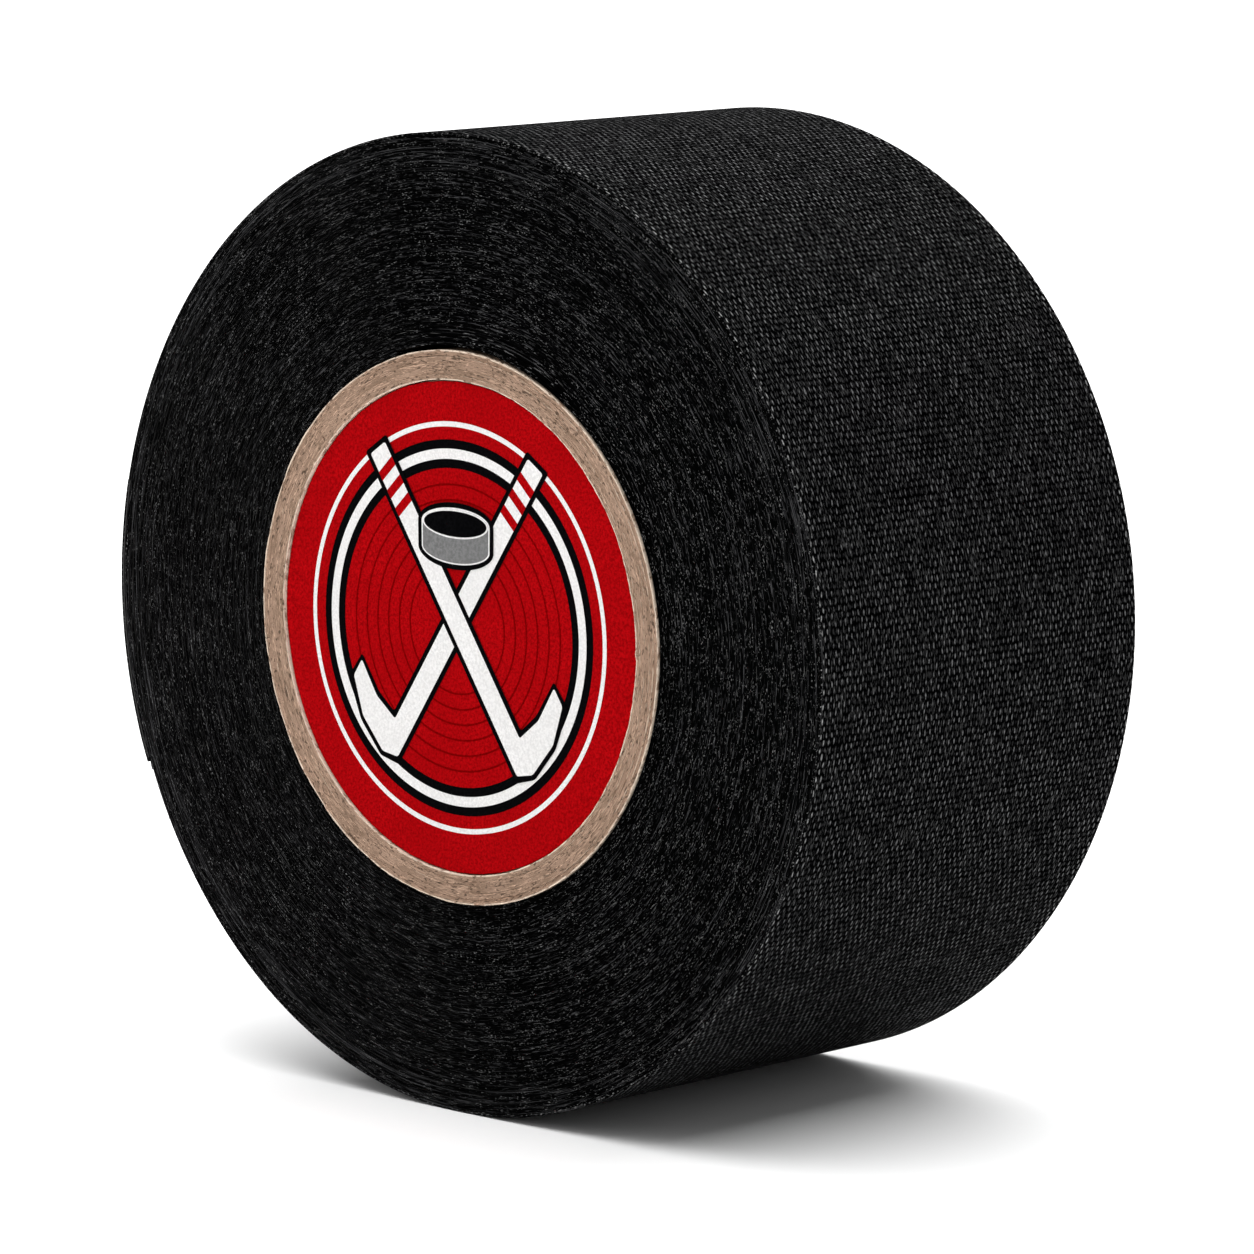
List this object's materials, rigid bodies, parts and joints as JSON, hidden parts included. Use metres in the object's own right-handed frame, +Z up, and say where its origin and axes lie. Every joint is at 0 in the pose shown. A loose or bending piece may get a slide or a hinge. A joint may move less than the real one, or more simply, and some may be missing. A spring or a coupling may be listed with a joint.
{
  "type": "hockey stick tape roll",
  "caption": "Roll of black cloth stick tape wound on a spiral paperboard core, with a printed disc pushed into the core's mouth and a free end to peel.",
  "frame": {"origin": "on the roll's axis, halfway across the tape's width", "axes": "+Y along the roll's axis, away from the printed disc, which faces -Y; +Z up, with the roll standing on its round side"},
  "size_m": [0.0763, 0.036, 0.0762],
  "materials": {
    "liner_kraft": "matte",
    "body_kraft": "matte",
    "wrap_kraft": "matte",
    "black_cloth": "matte",
    "tacky_coat": "satin",
    "red_print": "matte",
    "glue_film": "satin",
    "grey_board": "matte"
  },
  "bodies": {
    "roll": {"core_inner_liner": "liner_kraft", "core_body_ply_1": "body_kraft", "core_body_ply_2": "body_kraft", "core_body_ply_3": "body_kraft", "core_outer_wrap": "wrap_kraft", "wound_tape": "black_cloth"},
    "tape_end": {"tail_cloth": "black_cloth", "tail_tacky_coat": "tacky_coat"},
    "mouth_disc": {"disc_printed_paper": "red_print", "disc_glue_film": "glue_film", "disc_grey_board": "grey_board"}
  },
  "joints": [
    {"name": "tape_end_peel", "type": "hinge", "parent": "roll", "child": "tape_end", "pos_m": [-0.03737, 0, 0.00823], "axis": [0, 1, 0], "range_deg": [0, 120]},
    {"name": "mouth_disc_push_out", "type": "slide", "parent": "roll", "child": "mouth_disc", "axis": [0, -1, 0], "range_m": [0, 0.012]}
  ]
}
